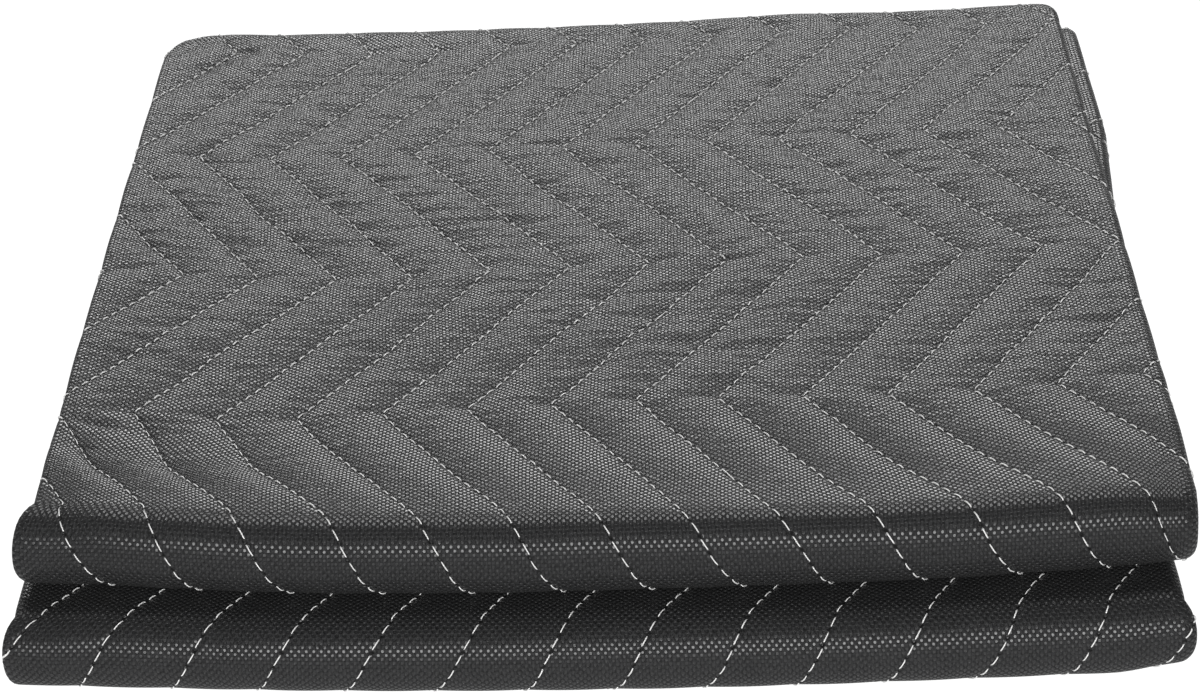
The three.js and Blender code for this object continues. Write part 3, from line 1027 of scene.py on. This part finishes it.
def make_stitch():
    shape = bmesh.new()
    bmesh.ops.create_cone(shape, cap_ends=True, segments=THREAD_SIDES, radius1=THREAD_RADIUS * MM,
                          radius2=THREAD_RADIUS * MM, depth=STITCH_LENGTH * MM)
    long_edges = [edge for edge in shape.edges if abs(edge.verts[0].co.z - edge.verts[1].co.z) > MM]
    bmesh.ops.subdivide_edges(shape, edges=long_edges, cuts=STITCH_RINGS, use_grid_fill=True)
    lie_down = Matrix.Rotation(math.radians(90), 3, "Y")
    bmesh.ops.rotate(shape, verts=shape.verts, matrix=lie_down)
    bmesh.ops.recalc_face_normals(shape, faces=shape.faces)
    around = shape.loops.layers.uv.new(THREAD_MAP)
    for face in shape.faces:
        for corner in face.loops:
            place = corner.vert.co
            corner[around].uv = (place.x, math.atan2(place.z, place.y) / math.tau)
    for point in shape.verts:
        share = abs(2 * point.co.x / (STITCH_LENGTH * MM))
        point.co.z += (STITCH_ARCH * (1 - share**3) - STITCH_SUNK) * MM
    mesh = bpy.data.meshes.new("stitch")
    shape.to_mesh(mesh)
    shape.free()
    return mesh


stitch = make_stitch()
print("a stitch has", len(stitch.vertices), "points and", len(stitch.polygons), "faces")


# %% [markdown]
# ## Where the stitches show
#
# Only the outer ply's face carries thread that can be seen: all of it on the upper blanket's
# top and nose and on both back folds, and just the side folds elsewhere. The lines of the
# pattern are walked leg by leg, and stitches outside those places are left out.

# %% Places of the stitches on the flat sheet
LEFT_LIMIT = FOLD_LEFT - math.pi * TIGHT_RADIUS - 1
RIGHT_LIMIT = FOLD_RIGHT + math.pi * WIDE_RADIUS + 1
EDGE_BAND = 7
LOWER_SHOWN = 34
HEM_CLEAR = 4
MOST_LINES = 40
STITCH_SEED = 5
LONG_STITCH_CHANCE = 0.006


def shows(blanket, t, length):
    strip = blanket["strip"]
    at_edge = (t > FOLD_RIGHT - EDGE_BAND) | (t < FOLD_LEFT + EDGE_BAND)
    back = (length > strip["back"]["first"]) & (length < strip["bottom"]["first"])
    front = length > strip["nose"]["first"]
    if blanket["layer"] == 0:
        front &= length < strip["top"]["first"] + LOWER_SHOWN
    inside = (t > LEFT_LIMIT) & (t < RIGHT_LIMIT)
    inside &= (length > HEM_CLEAR) & (length < blanket["length"] - HEM_CLEAR)
    return inside & (at_edge | back | front)


def stitch_places(blanket):
    """Middle of each stitch on the flat sheet, which way its line leans, and how many it spans."""
    first_leg = math.floor(-blanket["vertex_row"] / CHEVRON_RUN)
    last_leg = math.ceil((blanket["length"] - blanket["vertex_row"]) / CHEVRON_RUN)
    steps = np.arange(first_leg * STITCHES_PER_LEG, last_leg * STITCHES_PER_LEG) + 0.5
    from_row = steps / STITCHES_PER_LEG * CHEVRON_RUN
    length = from_row + blanket["vertex_row"]
    leg = np.floor(steps / STITCHES_PER_LEG).astype(int)
    lean = np.where((leg + blanket["right_vertex"]) % 2 == 0, 1, -1)
    lines = np.arange(-MOST_LINES, MOST_LINES)
    skips = np.random.default_rng(STITCH_SEED).random((len(steps), len(lines))) < LONG_STITCH_CHANCE
    skips &= (steps % STITCHES_PER_LEG < STITCHES_PER_LEG - 1)[:, None]
    skips[1:] &= ~skips[:-1]
    taken_up = np.zeros_like(skips)
    taken_up[1:] = skips[:-1]
    length = length[:, None] + skips * CHEVRON_RUN / STITCHES_PER_LEG / 2
    t = line_anchor(blanket, length) + LINE_SPACING * lines[None, :]
    lean = np.broadcast_to(lean[:, None], t.shape)
    keep = shows(blanket, t, length) & ~taken_up
    return t[keep], length[keep], lean[keep], 1 + skips[keep]


# %% Sew a blanket
THREAD_DRIFT = 0.16
LENGTH_SPREAD = 0.05
STITCH_TURN = 0.06
LEG_SINE = CHEVRON_SWING / math.hypot(CHEVRON_RUN, CHEVRON_SWING)


def repeat_stitch(count):
    """One long straight row of stitches."""
    row = add_object("seam", stitch)
    array = row.modifiers.new("stitches", "ARRAY")
    array.count = count
    array.use_relative_offset = False
    array.use_constant_offset = True
    array.constant_offset_displace = (STITCH_PITCH * MM, 0, 0)
    ready = row.evaluated_get(bpy.context.evaluated_depsgraph_get())
    mesh = bpy.data.meshes.new_from_object(ready)
    bpy.data.objects.remove(row)
    return mesh


def sew(name, blanket):
    middle_t, middle_length, lean, spans = stitch_places(blanket)
    count = len(middle_t)
    mesh = repeat_stitch(count)
    local = mesh_places(mesh).reshape(count, -1, 3)
    local[:, :, 0] -= STITCH_PITCH * MM * np.arange(count)[:, None]
    local = local / MM
    chance = np.random.default_rng(STITCH_SEED + blanket["layer"])
    drift = chance.normal(0, THREAD_DRIFT, count)[:, None]
    size = chance.normal(1, LENGTH_SPREAD, count)[:, None]
    along = local[:, :, 0] * size + np.sign(local[:, :, 0]) * (spans - 1)[:, None] * STITCH_PITCH / 2
    aside = local[:, :, 1] + drift + STITCH_TURN * local[:, :, 0] * lean[:, None]
    sine = LEG_SINE * lean[:, None]
    t = middle_t[:, None] + along * sine + aside * LEG_COSINE
    length = middle_length[:, None] + along * LEG_COSINE - aside * sine
    drawn_in = relief(blanket, middle_t, middle_length)[:, None]
    folded = fold_sheet(blanket, t, length, HALF_SHEET + local[:, :, 2] - drawn_in)
    mesh.vertices.foreach_set("co", folded.reshape(-1, 3).astype(np.float32).ravel())
    mesh.shade_smooth()
    mesh.update()
    mesh.name = name
    print(name, count, "stitches")
    return add_object(name, mesh)


seams = {name: sew(f"{name}_blanket_stitching", blanket) for name, blanket in BLANKETS.items()}

# %% [markdown]
# ## Thread material
#
# Polyester sewing thread is off-white, faintly glossy and twisted. The twist is a wave on the
# thread's own map, which runs along the stitch and round it, and the grooves between its strands
# get painted shade. Light passes into the fine white filaments and out again, so that a lit
# stitch glows evenly. Subsurface scattering does that.

# %% Thread material
THREAD_COLOUR = (0.97, 0.965, 0.94, 1)
# Painted shade in the grooves between the twisted strands
STRAND_GROOVE_SHADE = (0.8245, 0.82025, 0.799, 1)
TWISTS_PER_METRE = 1400.0
STRANDS = 2.0
STRAND_HEIGHT = 0.00006


def thread_material():
    material, tree, shader = new_material("sewing_thread")
    place = put(tree, "ShaderNodeSeparateXYZ", put(tree, "ShaderNodeUVMap", uv_map=THREAD_MAP)).node
    turns = maths(tree, "MULTIPLY_ADD", place.outputs["X"], TWISTS_PER_METRE, place.outputs["Y"])
    twist = maths(tree, "PINGPONG", maths(tree, "MULTIPLY", turns, STRANDS), 1.0)
    fill_named(tree, shader, {
        "Base Color": mix_colours(tree, twist, STRAND_GROOVE_SHADE, THREAD_COLOUR),
        "Roughness": 0.45,
        "Subsurface Weight": 1.0,
        "Subsurface Radius": (1.0, 1.0, 1.0),
        "Subsurface Scale": 0.0006,
        "Normal": bumped(tree, twist, STRAND_HEIGHT),
    })
    return material


thread = thread_material()
for seam in seams.values():
    seam.data.materials.append(thread)
print("thread material on", [seam.name for seam in seams.values()])

# %% [markdown]
# ## Floor and light
#
# The stack lies on a glowing white floor, as on a light table, so that the background is plain
# white and the undersides of the noses still get a little light from below. The camera sees the
# floor brighter than the cloth does. A low softbox far behind gives the flat tops their grey
# gloss, which falls off to charcoal on the noses, and one overhead softens it. A wide box in
# front, a little above the floor, puts the band of specks on each nose, and a weak one below it
# fills the crease between the blankets.

# %% Floor
FLOOR_SIZE = 6
FLOOR_GREY = (0.2, 0.2, 0.2, 1)
FLOOR_SEEN = 1.0
FLOOR_GLOW = 0.45


def make_floor():
    shape = bmesh.new()
    bmesh.ops.create_grid(shape, x_segments=1, y_segments=1, size=FLOOR_SIZE)
    mesh = bpy.data.meshes.new("studio_floor")
    shape.to_mesh(mesh)
    shape.free()
    material, tree, shader = new_material("pale_floor")
    seen = put(tree, "ShaderNodeLightPath")
    fill_named(tree, shader, {
        "Base Color": FLOOR_GREY,
        "Roughness": 0.9,
        "Emission Color": (1, 1, 1, 1),
        "Emission Strength": maths(tree, "MULTIPLY_ADD", seen, FLOOR_SEEN - FLOOR_GLOW, FLOOR_GLOW),
    })
    mesh.materials.append(material)
    floor = add_object("studio_floor", mesh)
    print("floor", 2 * FLOOR_SIZE, "m wide")


make_floor()


# %% Lights
WORLD_GLOW = 0.05
LIGHTS = [
    dict(name="back_key", place=(0.1, 3.4, 1.35), target=(0, 0, 0.05), size=(3.0, 0.9), power=62),
    dict(name="overhead", place=(0, 1.1, 2.3), target=(0, 0, 0), size=(2.0, 1.2), power=26),
    dict(name="front_strip", place=(0, -2.3, 0.8), target=(0, -0.28, 0.05), size=(2.8, 0.85), power=48),
    dict(name="front_fill", place=(0, -2.6, 0.34), target=(0, -0.28, 0.04), size=(2.8, 0.6), power=12),
]


def softbox(name, place, target, size, power):
    light = bpy.data.lights.new(name, "AREA")
    light.shape = "RECTANGLE"
    light.size, light.size_y = size
    light.energy = power
    lamp = add_object(name, light)
    lamp.location = place
    lamp.rotation_euler = (Vector(target) - Vector(place)).to_track_quat("-Z", "Y").to_euler()


for row in LIGHTS:
    softbox(**row)

world = bpy.data.worlds.new("studio")
world.use_nodes = True
background = world.node_tree.nodes["Background"]
fill_named(world.node_tree, background, {"Color": (1, 1, 1, 1), "Strength": WORLD_GLOW})
bpy.context.scene.world = world
bpy.context.scene.view_settings.view_transform = "Standard"
print("lights:", [row["name"] for row in LIGHTS])

# %% [markdown]
# ## Each piece on the stack's body
#
# Every cloth takes the place of its plain solid, and every piece rides on the one rigid body of
# the stack.

for name, blanket in BLANKETS.items():
    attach(cloths[name], "root")
    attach(seams[name], "root")
    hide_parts(f"blanket_{name}")
